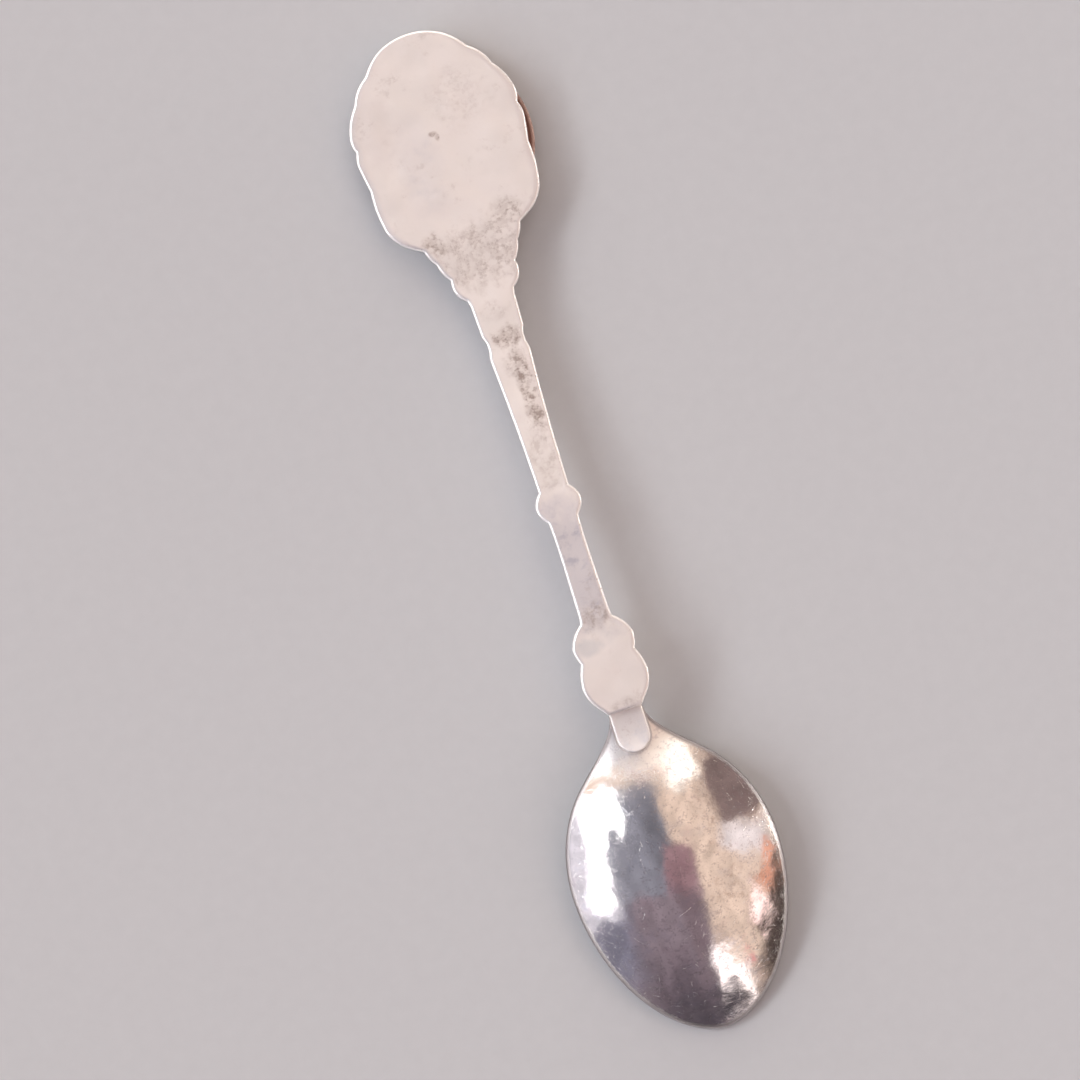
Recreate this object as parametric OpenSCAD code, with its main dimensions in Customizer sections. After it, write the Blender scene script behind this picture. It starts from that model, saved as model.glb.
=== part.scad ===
// Souvenir spoon, lying face down: a cast handle with a scalloped finial plate, a
// stamped bowl soldered under the handle's tab, and a domed enamel badge.
// Z is up, Y runs from the bowl's tip to the finial's crest and X lies across.
// The origin is midway along the spoon, on the surface that it lies on.

/* [Bowl] */
// Widest part of the bowl, rim to rim
bowl_width = 23.74; // [22:0.1:25]
// Height of the bowl's back above its rim edge
bowl_depth = 5; // [4:0.1:6]
// Thickness of the sheet at the rim
bowl_wall = 0.8; // [0.6:0.05:1]
// Height of the rim line at the heel above the tip
rim_rise = 3.5; // [3:0.1:4]
// How far the rim line bows up between tip and heel
rim_arch = 0.6; // [0:0.1:0.8]

/* [Handle] */
// Thickness of the finial plate
plate_thickness = 1.3; // [1:0.05:1.6]
// Thickness of the shaft
shaft_thickness = 1.9; // [1.5:0.05:2.2]
// Thickness of the knop above the bowl
knop_thickness = 2.4; // [2:0.05:2.6]
// Height of the knop's back above the plate's back
knop_rise = 2.35; // [2.2:0.05:2.6]
// Depth of the cast ornament on the front
relief_depth = 0.3; // [0.1:0.05:0.4]
// Width of the raised edge around the ornament
border_width = 0.75; // [0.5:0.05:1]

/* [Tab] */
// Half the width of the tab that lies on the bowl's back
tab_half = 1.87; // [1.6:0.05:1.9]
// Thickness of the tab
tab_thickness = 0.4; // [0.3:0.05:1.1]
// Solder between the tab and the bowl
solder_gap = 0.12; // [0.08:0.01:0.2]
// Width of the solder bead around the tab
solder_bead = 0.2; // [0.1:0.05:0.3]

/* [Badge] */
// Radius of the copper tray
badge_radius = 9.7; // [9.4:0.1:9.8]
// Offset of the badge to one side of the plate's middle
badge_x = 0.45; // [0:0.05:0.6]
// Thickness of the tray under the enamel
tray_floor = 0.5; // [0.4:0.05:0.7]
// Width of the sloping rim on the tray's back
rim_band = 0.65; // [0.4:0.05:0.8]
// Depth of the enamel cells
cell_depth = 0.4; // [0.3:0.05:0.5]
// Width of the raised metal lines between the cells
line_width = 0.26; // [0.2:0.02:0.34]
// Height of the clear dome
dome_height = 1.1; // [0.8:0.05:1.4]
// Thickness of the adhesive under the tray
adhesive_thickness = 0.1; // [0.05:0.01:0.2]

/* [Hidden] */
$fn = 96;
gap = 0.02;
reach = 20;
silver = [0.85, 0.8, 0.77];

crest_y = 57.5;
tip_y = -57.5;
knop_end_y = -20.6;
tab_end_y = -25.4;
plate_end_y = 33;
knop_top_y = -17;
widest_y = -38.81;
tip_run = widest_y - tip_y;
heel_run = 14.5;
heel_join_y = widest_y + 11.26;
hollow_start_y = -22.4;
heel_half = 1.93;
bowl_half = bowl_width / 2;
rim_edge = 0.7;

badge_y = 44.5;
dome_radius = 9.3;
dome_edge = 0.2;
cells_z = dome_height + cell_depth;
tray_top_z = cells_z + tray_floor;
plate_front_z = tray_top_z + adhesive_thickness;
plate_back_z = plate_front_z + plate_thickness;

// Right edge of the handle from the crest down, each stretch an arc that ends at
// [x, y] and bows outwards by the third number.
edge_arcs = [
    [5.88, 54.31, 0.9],                                              // crest
    [7.95, 51.67, 0.3], [9.55, 48.3, 0.25], [9.3, 46.72, 0.12],       // shoulder
    [9.62, 45.3, 0.08], [9.15, 42.2, 0.04],                          // side
    [9.25, 40.1, 0.03], [8.9, 37.4, 0.05], [7.36, 35.18, 0.18],
    [5.57, 34.08, 0.03],                                             // lower corner
    [4.7, 32.3, 0.14], [3.74, 30.2, 0.18], [2.72, 27.45, 0.5],       // neck scallops
    [2.55, 26.7, 0], [2.42, 23.1, 0], [2.12, 22.3, -0.02],
    [2.12, 21.45, 0], [2.33, 20.4, 0.02], [1.82, 9.5, -0.05],        // upper shaft
    [1.73, 4.9, 0], [1.73, 1.45, 0.85],                              // ring
    [1.63, -2, -0.03], [1.72, -8.8, 0], [1.82, -10.2, -0.03],        // lower shaft
    [3.51, -12.64, 0.27], [3.09, -14.4, 0.1],
    [3.79, -17, 0.14], [2.55, -19.8, 0.28], [heel_half, knop_end_y, 0] // knop
];

// Thickness of the handle at places along it
thicknesses = [[knop_end_y, knop_thickness], [-12.6, knop_thickness],
               [-9.5, shaft_thickness], [22, shaft_thickness],
               [plate_end_y, plate_thickness], [crest_y, plate_thickness]];

// ---- outlines ----

// Points after p along an arc that ends at q and bows to the left of p to q
function arc_to(p, q, bow, steps = 6) =
    let (run = q - p, length = norm(run), left = [-run.y, run.x] / length)
    [for (i = [1:steps])
        let (t = i / steps) p + run * t + left * bow * 4 * t * (1 - t)];

function edge_from(p, arcs, i = 0) =
    i == len(arcs) ? []
    : let (q = [arcs[i].x, arcs[i].y],
           stretch = arcs[i][2] == 0 ? [q] : arc_to(p, q, arcs[i][2]))
      concat(stretch, edge_from(q, arcs, i + 1));

function mirrored(points) = [for (i = [len(points) - 1:-1:0]) [-points[i].x, points[i].y]];

// A closed outline with every side moved inwards by d, for points in clockwise order
function inset(points, d) =
    let (n = len(points))
    [for (i = [0:n - 1])
        let (p = points[i], a = p - points[(i + n - 1) % n], b = points[(i + 1) % n] - p,
             na = [a.y, -a.x] / norm(a), nb = [b.y, -b.x] / norm(b))
        p + (na + nb) * d / max(0.5, 1 + na * nb)];

right_edge = edge_from([0, crest_y], edge_arcs);
handle_points = concat([[0, crest_y]], right_edge, mirrored(right_edge));

tab_centre_y = tab_end_y + tab_half;
tab_points = concat(
    [[tab_half, knop_end_y + 1]],
    [for (a = [0:-15:-180]) [tab_half * cos(a), tab_centre_y + tab_half * sin(a)]],
    [[-tab_half, knop_end_y + 1]]);

// ---- heights ----

function smooth(t) = let (s = min(1, max(0, t))) s * s * (3 - 2 * s);
function rim_z(y) =
    let (f = (y - tip_y) / (knop_end_y - tip_y)) rim_rise * f + rim_arch * 4 * f * (1 - f);

// Half the bowl's width at y, drawn in by an inset
function heel_half_at(y, in) =
    (bowl_half - in) * sqrt(max(0, 1 - pow((y - widest_y) / (heel_run - in), 2)));
function tip_half_at(y, in) =
    (bowl_half - in) * pow(max(0, 1 - pow((widest_y - y) / (tip_run - in), 1.9)), 0.55);
// The neck blends the narrow heel into the oval with a curve that leaves the heel
// nearly straight and meets the oval at its slope.
function neck_half_at(y, in) =
    let (run = knop_end_y - heel_join_y, t = (knop_end_y - y) / run,
         end = heel_half_at(heel_join_y, in),
         slope = pow((bowl_half - in) / (heel_run - in), 2) * (heel_join_y - widest_y) / end)
    (heel_half - in) * (2 * t * t * t - 3 * t * t + 1)
    + end * (3 * t * t - 2 * t * t * t) + slope * run * (t * t * t - t * t);
function bowl_half_at(y, in = 0) =
    y > heel_join_y ? neck_half_at(y, in)
    : y > widest_y ? heel_half_at(y, in) : tip_half_at(y, in);

function bulge(half, x, widest) = max(0, half * half - x * x) / (widest * widest);
function outer_z(x, y) =
    rim_z(y) + rim_edge + bowl_depth * bulge(bowl_half_at(y), x, bowl_half);
function hollow_half_at(y) =
    bowl_half_at(y, bowl_wall) * sqrt(min(1, max(0, (hollow_start_y - y) / 2)));
function inner_z(x, y) =
    rim_z(y) + (bowl_depth - 0.1) * bulge(hollow_half_at(y), x, bowl_half - bowl_wall);

function back_z(y) =
    plate_back_z + knop_rise * smooth((plate_end_y - y) / (plate_end_y - knop_top_y));
function front_z(y) = back_z(y) - lookup(y, thicknesses);
function tab_bottom_z(y) = outer_z(0, y) + solder_gap;

// ---- side views ----

tab_steps = 8;
tab_stations = [for (i = [0:tab_steps]) knop_end_y + (tab_end_y - knop_end_y) * i / tab_steps];
shaft_steps = 20;
handle_stations = concat(
    [for (i = [0:shaft_steps]) knop_end_y + (plate_end_y - knop_end_y) * i / shaft_steps],
    [crest_y]);
tab_side = concat(
    [for (y = tab_stations) [y, tab_bottom_z(y)]],
    [for (i = [tab_steps:-1:0])
        [tab_stations[i], tab_bottom_z(tab_stations[i]) + tab_thickness]]);
handle_side = concat(
    [for (y = handle_stations) [y, front_z(y)]],
    [for (i = [len(handle_stations) - 1:-1:0]) [handle_stations[i], back_z(handle_stations[i])]]);
// Everything lower than the front face moved up by depth
function front_skin(depth) = concat(
    [for (y = handle_stations) [y, front_z(y) + depth]], [[crest_y, -1], [knop_end_y, -1]]);

// A side view of [y, z] points, extruded across the spoon
module across(points)
    rotate([90, 0, 90]) translate([0, 0, -reach]) linear_extrude(2 * reach) polygon(points);

module upright(z = -1, height = reach) translate([0, 0, z]) linear_extrude(height) children();

// ---- bowl ----

bowl_steps = 44;
bowl_columns = 22;

function station(from, to, i) = from + (to - from) * sin(90 * i / bowl_steps);
function spread(half, j) = half * sin(-90 + 180 * j / bowl_columns);

// Two triangles of a quad whose corners run clockwise as seen from outside
function quad(a, b, c, d) = [[a, b, c], [a, c, d]];

module bowl() {
    n = bowl_steps;
    m = bowl_columns;
    hollow_end_y = tip_y + bowl_wall;
    back = [for (i = [0:n - 1], j = [0:m])
        let (y = station(knop_end_y - gap, tip_y, i), x = spread(bowl_half_at(y), j))
        [x, y, outer_z(x, y)]];
    rim = [for (i = [0:n - 1], side = [-1, 1])
        let (y = station(knop_end_y - gap, tip_y, i)) [side * bowl_half_at(y), y, rim_z(y)]];
    hollow = [for (i = [1:n - 1], j = [0:m])
        let (y = station(hollow_start_y, hollow_end_y, i), x = spread(hollow_half_at(y), j))
        [x, y, inner_z(x, y)]];
    ends = [[0, tip_y, rim_edge], [0, tip_y, 0],
            [0, hollow_start_y, rim_z(hollow_start_y)], [0, hollow_end_y, rim_z(hollow_end_y)]];

    rim_0 = len(back);
    hollow_0 = rim_0 + len(rim);
    back_tip = hollow_0 + len(hollow);
    rim_tip = back_tip + 1;
    hollow_heel = back_tip + 2;
    hollow_tip = back_tip + 3;
    function b(i, j) = i == n ? back_tip : i * (m + 1) + j;
    function r(i, side) = i == n ? rim_tip : rim_0 + 2 * i + side;
    function h(i, j) =
        i == 0 ? hollow_heel : i == n ? hollow_tip : hollow_0 + (i - 1) * (m + 1) + j;

    back_faces = [for (i = [0:n - 2], j = [0:m - 1])
        each quad(b(i, j), b(i, j + 1), b(i + 1, j + 1), b(i + 1, j))];
    back_tip_faces = [for (j = [0:m - 1]) [b(n - 1, j), b(n - 1, j + 1), back_tip]];
    hollow_faces = [for (i = [1:n - 2], j = [0:m - 1])
        each quad(h(i, j), h(i + 1, j), h(i + 1, j + 1), h(i, j + 1))];
    hollow_end_faces = [for (j = [0:m - 1])
        each [[hollow_heel, h(1, j), h(1, j + 1)], [h(n - 1, j), hollow_tip, h(n - 1, j + 1)]]];
    edge_faces = [for (i = [0:n - 1])
        each concat(quad(b(i, 0), b(i + 1, 0), r(i + 1, 0), r(i, 0)),
                    quad(b(i, m), r(i, 1), r(i + 1, 1), b(i + 1, m)))];
    rim_faces = [for (i = [0:n - 1])
        each concat(i == 0 ? [[r(0, 0), r(1, 0), h(1, 0)], [r(0, 0), h(1, 0), hollow_heel]]
                    : i == n - 1 ? [[r(i, 0), rim_tip, hollow_tip], [r(i, 0), hollow_tip, h(i, 0)]]
                    : quad(r(i, 0), r(i + 1, 0), h(i + 1, 0), h(i, 0)),
                    i == 0 ? [[r(0, 1), h(1, m), r(1, 1)], [r(0, 1), hollow_heel, h(1, m)]]
                    : i == n - 1 ? [[r(i, 1), hollow_tip, rim_tip], [r(i, 1), h(i, m), hollow_tip]]
                    : quad(r(i, 1), h(i, m), h(i + 1, m), r(i + 1, 1)))];
    heel_faces = concat([[r(0, 0), hollow_heel, r(0, 1)]],
        [concat([for (j = [m:-1:0]) b(0, j)], [r(0, 0), r(0, 1)])]);

    color(silver) polyhedron(concat(back, rim, hollow, ends),
        concat(back_faces, back_tip_faces, hollow_faces, hollow_end_faces,
                      edge_faces, rim_faces, heel_faces));
}

// ---- handle ----

// Cuts the children's outline into the front face to the relief's depth
module engrave() {
    intersection() {
        upright() children();
        across(front_skin(relief_depth));
    }
}

// A pointed leaf: where two circles overlap
module leaf(length, width) {
    radius = (length * length + width * width) / (4 * width);
    intersection() {
        translate([radius - width / 2, length / 2]) circle(radius);
        translate([width / 2 - radius, length / 2]) circle(radius);
    }
}

module fan(count, spread, length, width) {
    for (i = [0:count - 1]) rotate(spread * (i / (count - 1) - 0.5)) leaf(length, width);
}

// The sunk ground of the plate, around the badge's seat and two fans of leaves
module plate_ground() {
    difference() {
        intersection() {
            polygon(inset(handle_points, border_width));
            translate([-reach / 2, 31]) square(reach * 2);
        }
        translate([badge_x, badge_y]) circle(badge_radius - 0.6);
        translate([0, 52.6]) fan(5, 120, 3.6, 1);
        translate([0, 36.6]) rotate(180) fan(5, 130, 3.8, 1.1);
    }
}

// Two flutes on each stretch of the shaft, beside its middle rib
module shaft_flutes() {
    for (side = [-1, 1]) {
        translate([side * 0.95 - 0.2, -8.6]) square([0.4, 9.4]);
        translate([side * 1.05 - 0.25, 5.6]) square([0.5, 15]);
    }
}

// Veins of the two leaves that the knop is cast as
module knop_veins() {
    for (side = [-1, 1], i = [0:2])
        translate([side * 0.5, -12 - 2.6 * i]) rotate(side * -62) leaf(2.4, 0.5);
}

module handle() {
    color(silver) {
        difference() {
            intersection() {
                upright() polygon(handle_points);
                across(handle_side);
            }
            engrave() plate_ground();
            engrave() shaft_flutes();
            engrave() knop_veins();
        }
        intersection() {
            upright() polygon(tab_points);
            across(tab_side);
        }
    }
}

// ---- solder seam ----

seam_steps = 16;
seam_columns = 6;

function seam_half_at(y) =
    let (past = max(0, tab_centre_y - y), radius = tab_half + solder_bead)
    min(sqrt(max(0, radius * radius - past * past)), bowl_half_at(y) - gap);

module bowl_solder() {
    n = seam_steps;
    m = seam_columns;
    seam_end_y = tab_end_y - solder_bead;
    function y_at(i) = station(knop_end_y - gap, seam_end_y, i * bowl_steps / n);
    function x_at(i, j) = seam_half_at(y_at(i)) * (2 * j / m - 1);
    top = [for (i = [0:n - 1], j = [0:m]) [x_at(i, j), y_at(i), tab_bottom_z(y_at(i)) - gap]];
    under = [for (i = [0:n - 1], j = [0:m])
        [x_at(i, j), y_at(i), outer_z(x_at(i, j), y_at(i)) + gap / 2]];
    ends = [[0, seam_end_y, tab_bottom_z(seam_end_y) - gap],
            [0, seam_end_y, outer_z(0, seam_end_y) + gap / 2]];
    under_0 = len(top);
    top_tip = 2 * under_0;
    function t(i, j) = i == n ? top_tip : i * (m + 1) + j;
    function u(i, j) = i == n ? top_tip + 1 : under_0 + i * (m + 1) + j;
    grids = [for (i = [0:n - 2], j = [0:m - 1])
        each concat(quad(t(i, j), t(i, j + 1), t(i + 1, j + 1), t(i + 1, j)),
                    quad(u(i, j), u(i + 1, j), u(i + 1, j + 1), u(i, j + 1)))];
    tips = [for (j = [0:m - 1])
        each [[t(n - 1, j), t(n - 1, j + 1), top_tip], [u(n - 1, j), top_tip + 1, u(n - 1, j + 1)]]];
    sides = [for (i = [0:n - 1])
        each concat(quad(t(i, 0), t(i + 1, 0), u(i + 1, 0), u(i, 0)),
                    quad(t(i, m), u(i, m), u(i + 1, m), t(i + 1, m)))];
    heel = [for (j = [0:m - 1]) each quad(t(0, j), u(0, j), u(0, j + 1), t(0, j + 1))];
    color("slategray") polyhedron(concat(top, under, ends), concat(grids, tips, sides, heel));
}

// ---- badge ----

picture_radius = 7;
band_inner = picture_radius + line_width;
band_outer = 9.1;
shore_y = -1.6;

mountain_points = [[-8, -2.5], [-8, 0.6], [-6.2, 1.4], [-4.6, 2.9], [-3.4, 2.1], [-1.6, 4.5],
                   [0.2, 2.2], [1.3, 1.2], [2.7, 2.6], [4.3, 1.1], [5.6, 1.7], [8, 0.3], [8, -2.5]];
snow_caps = [[[-2.6, 3.2], [-1.6, 4.5], [-0.6, 3.2], [-1.1, 2.7], [-1.6, 3.2], [-2.1, 2.6]],
             [[1.9, 1.8], [2.7, 2.6], [3.5, 1.85], [3, 1.4], [2.6, 1.8], [2.3, 1.4]]];
hill_points = concat([[-8, -2.5]], [for (x = [-8:1:8]) [x, -0.35 + 0.45 * cos(60 * x)]], [[8, -2.5]]);
lake_points = [[-8, -8], [-8, shore_y], [8, shore_y], [8, -8]];
sail_points = [[[1.65, -4.3], [1.65, -2], [3.3, -4.3]], [[0, -4.3], [1.25, -2.7], [1.25, -4.3]]];
hull_points = [[-0.1, -4.7], [3.6, -4.7], [3, -5.5], [0.6, -5.5]];
pines = [[-4.9, -3, 2.9], [-3.5, -3.3, 3.3], [-2.2, -3, 2.3]];
sun_place = [3.7, 4.3];
sun_radius = 1.1;

function pine_points(p) =
    [[p.x - 0.55, p.y], [p.x - 0.3, p.y + p.z / 2], [p.x, p.y + p.z], [p.x + 0.3, p.y + p.z / 2],
     [p.x + 0.55, p.y]];

// A shape of the picture, grown by a margin on every side
module patch(points, margin = 0) polygon(margin == 0 ? points : inset(points, -margin));
module patches(shapes, margin = 0) for (points = shapes) patch(points, margin);

module sun_shape(margin = 0) translate(sun_place) circle(sun_radius + margin);
module snow_shape(margin = 0) patches(snow_caps, margin);
module tree_shape(margin = 0) patches([for (p = pines) pine_points(p)], margin);
module sail_shape(margin = 0) patches(sail_points, margin);
module hull_shape(margin = 0) patch(hull_points, margin);

module sky_shape() difference() {
    circle(picture_radius);
    patch(mountain_points, line_width);
    patch(hill_points, line_width);
    patch(lake_points, line_width);
    sun_shape(line_width);
}
module mountain_shape() intersection() {
    circle(picture_radius);
    difference() {
        patch(mountain_points);
        patch(hill_points, line_width);
        snow_shape(line_width);
        tree_shape(line_width);
    }
}
module hill_shape() intersection() {
    circle(picture_radius);
    difference() {
        patch(hill_points);
        patch(lake_points, line_width);
        tree_shape(line_width);
    }
}
module lake_shape() intersection() {
    circle(picture_radius);
    difference() {
        patch(lake_points);
        tree_shape(line_width);
        sail_shape(line_width);
        hull_shape(line_width);
    }
}
module band_shape() difference() {
    circle(band_outer);
    circle(band_inner);
}

module on_badge() translate([badge_x, badge_y]) children();
module enamel() on_badge() upright(dome_height, cell_depth) children();

module badge_adhesive() {
    color("khaki") on_badge() upright(tray_top_z, adhesive_thickness) circle(badge_radius - 1.1);
}

// The tray's half section, with its front edge chamfered and its back rim sloped
module tray_section() {
    chamfer = 0.15;
    polygon([[0, dome_height], [badge_radius - chamfer, dome_height],
             [badge_radius, dome_height + chamfer], [badge_radius, tray_top_z - 0.4],
             [badge_radius - chamfer, tray_top_z - 0.22], [badge_radius - rim_band, tray_top_z],
             [0, tray_top_z]]);
}

module badge_tray() {
    color("peru") difference() {
        on_badge() rotate_extrude() tray_section();
        enamel() band_shape();
        enamel() sky_shape();
        enamel() sun_shape();
        enamel() mountain_shape();
        enamel() snow_shape();
        enamel() hill_shape();
        enamel() tree_shape();
        enamel() lake_shape();
        enamel() sail_shape();
        enamel() hull_shape();
    }
}

// The clear dome: a low cap whose lowest point touches the surface
module badge_dome() {
    sag = dome_height - dome_edge;
    radius = (dome_radius * dome_radius + sag * sag) / (2 * sag);
    steps = 12;
    cap = [for (i = [0:steps])
        let (x = dome_radius * i / steps) [x, radius - sqrt(radius * radius - x * x)]];
    color([0.9, 0.95, 1, 0.4]) on_badge() rotate_extrude()
        polygon(concat(cap, [[dome_radius, dome_height], [0, dome_height]]));
}

module enamel_band() color("navy") enamel() band_shape();
module enamel_sky() color("skyblue") enamel() sky_shape();
module enamel_sun() color("gold") enamel() sun_shape();
module enamel_mountains() color("slateblue") enamel() mountain_shape();
module enamel_snow() color("white") enamel() snow_shape();
module enamel_hills() color("yellowgreen") enamel() hill_shape();
module enamel_trees() color("darkgreen") enamel() tree_shape();
module enamel_lake() color("steelblue") enamel() lake_shape();
module enamel_sails() color("ivory") enamel() sail_shape();
module enamel_hull() color("firebrick") enamel() hull_shape();

bowl();
handle();
bowl_solder();
badge_adhesive();
badge_tray();
badge_dome();
enamel_band();
enamel_sky();
enamel_sun();
enamel_mountains();
enamel_snow();
enamel_hills();
enamel_trees();
enamel_lake();
enamel_sails();
enamel_hull();
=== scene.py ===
"""A souvenir spoon lying face down: cast handle, stamped bowl, solder seam and domed enamel badge.

Lengths are millimetres until a mesh is made, Z is up, and Y runs from the bowl's tip to the
finial's crest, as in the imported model.
"""
import math

import bmesh
import bpy
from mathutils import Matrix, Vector


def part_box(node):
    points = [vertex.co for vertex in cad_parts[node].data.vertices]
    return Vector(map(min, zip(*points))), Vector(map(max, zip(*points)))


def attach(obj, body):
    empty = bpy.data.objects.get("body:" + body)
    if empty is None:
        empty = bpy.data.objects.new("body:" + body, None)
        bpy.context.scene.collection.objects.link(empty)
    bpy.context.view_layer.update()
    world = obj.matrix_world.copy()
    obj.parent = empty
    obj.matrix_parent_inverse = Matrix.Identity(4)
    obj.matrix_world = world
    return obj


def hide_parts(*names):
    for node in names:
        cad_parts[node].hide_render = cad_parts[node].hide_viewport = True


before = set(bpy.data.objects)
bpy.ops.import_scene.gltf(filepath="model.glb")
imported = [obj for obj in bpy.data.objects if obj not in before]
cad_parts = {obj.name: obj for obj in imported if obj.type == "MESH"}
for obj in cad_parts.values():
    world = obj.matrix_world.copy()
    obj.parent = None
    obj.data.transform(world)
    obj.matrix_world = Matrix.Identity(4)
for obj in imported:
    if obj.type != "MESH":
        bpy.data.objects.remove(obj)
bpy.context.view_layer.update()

# ---- Bowl ------------------------------------------------------------------------------
# The bowl is stamped from nickel-silver sheet, silver-plated and polished. Its narrow heel
# runs up under the handle's tab, and its rim is rounded by the polishing.

MM = 0.001
bowl_lo, bowl_hi = (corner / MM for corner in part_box("bowl"))
bowl_half = bowl_hi.x
tip_y = bowl_lo.y
heel_y = bowl_hi.y
widest_y = tip_y + 18.69
join_y = widest_y + 11.26
tip_run = widest_y - tip_y
heel_run = 14.5
heel_half = 1.93
tip_power = 1.9
tip_fullness = 0.55
sheet = 0.8
rim_edge = 0.7
rim_rise = 3.5
rim_arch = 0.6
bowl_depth = 5.0
hollow_depth = 4.9
hollow_start_y = -22.4
hollow_round = 2.0
hollow_edge = 0.28
lip_inset = 0.22
lip_middle = 0.36
over_steps = 6
under_steps = 7
side_steps = 96
silver = (0.95, 0.92, 0.89)


def smooth(t):
    """0 below 0, 1 above 1, and an S curve between."""
    t = min(1.0, max(0.0, t))
    return t * t * (3 - 2 * t)


def rim_z(y):
    f = (y - tip_y) / (heel_y - tip_y)
    return rim_rise * f + rim_arch * 4 * f * (1 - f)


def oval_half(y, inset):
    """Half the bowl's width at y on its oval part, drawn in by an inset."""
    if y > widest_y:
        return (bowl_half - inset) * math.sqrt(max(0, 1 - ((y - widest_y) / (heel_run - inset)) ** 2))
    u = min(1, (widest_y - y) / (tip_run - inset))
    return (bowl_half - inset) * (1 - u**tip_power) ** tip_fullness


def bowl_half_at(y, inset=0.0):
    if y <= join_y:
        return oval_half(y, inset)
    # The neck: a cubic from the narrow heel that meets the oval at its slope.
    run = heel_y - join_y
    t = (heel_y - y) / run
    end = oval_half(join_y, inset)
    slope = ((bowl_half - inset) / (heel_run - inset)) ** 2 * (join_y - widest_y) / end
    start = (heel_half - inset) * (2 * t**3 - 3 * t**2 + 1)
    return start + end * (3 * t**2 - 2 * t**3) + slope * run * (t**3 - t**2)


def hollow_half_at(y):
    return bowl_half_at(y, sheet) * math.sqrt(min(1, max(0, (hollow_start_y - y) / hollow_round)))


def bulge(half, x, widest):
    return max(0, half * half - x * x) / widest**2


def outer_z(x, y):
    return rim_z(y) + rim_edge + bowl_depth * bulge(bowl_half_at(y), x, bowl_half)


def inner_z(x, y):
    return rim_z(y) + hollow_depth * bulge(hollow_half_at(y), x, bowl_half - sheet)


def oval_outline(start_y, end_y, half_at, steps):
    """The outline from the heel down the right side, round the tip, up the left and across."""
    ys = [start_y + (end_y - start_y) * math.sin(math.pi / 2 * i / steps) for i in range(steps)]
    right = [(half_at(y), y) for y in ys]
    heel = [(right[0][0] * (j / 4 - 1), start_y) for j in range(1, 8)]
    return right + [(0, end_y)] + [(-x, y) for x, y in reversed(right)] + heel


def outward(points, i, closed=True):
    """The outward normal at a point of an outline that runs down the right side first."""
    last = len(points) - 1
    before = points[(i - 1) % len(points)] if closed or i > 0 else points[0]
    after = points[(i + 1) % len(points)] if closed or i < last else points[last]
    away = Vector((before[1] - after[1], after[0] - before[0]))
    return away.normalized()


def rings(centre, outline, shares, height):
    """Rings of points from a centre out to an outline; height gives z from (x, y, share)."""
    made = []
    for share in shares:
        ring = []
        for x, y in outline:
            px = centre[0] + share * (x - centre[0])
            py = centre[1] + share * (y - centre[1])
            ring.append((px, py, height(px, py, share)))
        made.append(ring)
    return made


def skin(name, loops, first=None, last=None, marks=None):
    """A mesh object through loops of equal length, closed by a point or a face at each end."""
    count = len(loops[0])
    points = [p for loop in loops for p in loop]
    faces = []
    for k in range(len(loops) - 1):
        for i in range(count):
            j = (i + 1) % count
            faces.append((k * count + i, k * count + j, (k + 1) * count + j, (k + 1) * count + i))
    for end, base in ((first, 0), (last, (len(loops) - 1) * count)):
        if end is not None:
            points.append(end)
            top = len(points) - 1
            faces += [(top, base + i, base + (i + 1) % count) for i in range(count)]
    marks = list(marks or [0.0] * len(loops))
    wear_and_shade = [m for m in marks for _ in range(count)] + [0.0] * (len(points) - count * len(loops))
    return solid(name, points, faces, wear_and_shade)


weld = 0.0005 * MM


def solid(name, points, faces, wear_and_shade=None):
    """A smooth, closed mesh object in metres, with an optional mark on its edge points: real wear on the
    handle, a painted dark reflection on the bowl's rim.
    """
    mesh = bpy.data.meshes.new(name)
    mesh.from_pydata([(x * MM, y * MM, z * MM) for x, y, z in points], [], faces)
    if wear_and_shade:
        edge = mesh.attributes.new("edge_wear_and_shade", "FLOAT", "POINT")
        edge.data.foreach_set("value", wear_and_shade)
    work = bmesh.new()
    work.from_mesh(mesh)
    bmesh.ops.remove_doubles(work, verts=work.verts, dist=weld)
    bmesh.ops.dissolve_degenerate(work, edges=work.edges, dist=0.4 * weld)
    bmesh.ops.recalc_face_normals(work, faces=work.faces)
    for face in work.faces:
        face.smooth = True
    work.to_mesh(mesh)
    work.free()
    piece = bpy.data.objects.new(name, mesh)
    bpy.context.scene.collection.objects.link(piece)
    return piece


bowl_outline = oval_outline(heel_y, tip_y, bowl_half_at, side_steps)
hollow_outline = oval_outline(hollow_start_y, tip_y + sheet, hollow_half_at, side_steps)
bowl_centre = (0, widest_y)
shares = [1 - (1 - k / 44) ** 1.5 for k in range(1, 45)]
lip_aways = [outward(bowl_outline, i) for i in range(len(bowl_outline))]
heel_corner = (0.93, 0.37)
lip_aways[0] = Vector(heel_corner)
lip_aways[2 * side_steps] = Vector((-heel_corner[0], heel_corner[1]))
lip_start = [(x - n.x * lip_inset, y - n.y * lip_inset) for (x, y), n in zip(bowl_outline, lip_aways)]
bowl_loops = rings(bowl_centre, lip_start, shares, lambda x, y, share: outer_z(x, y))
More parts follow.
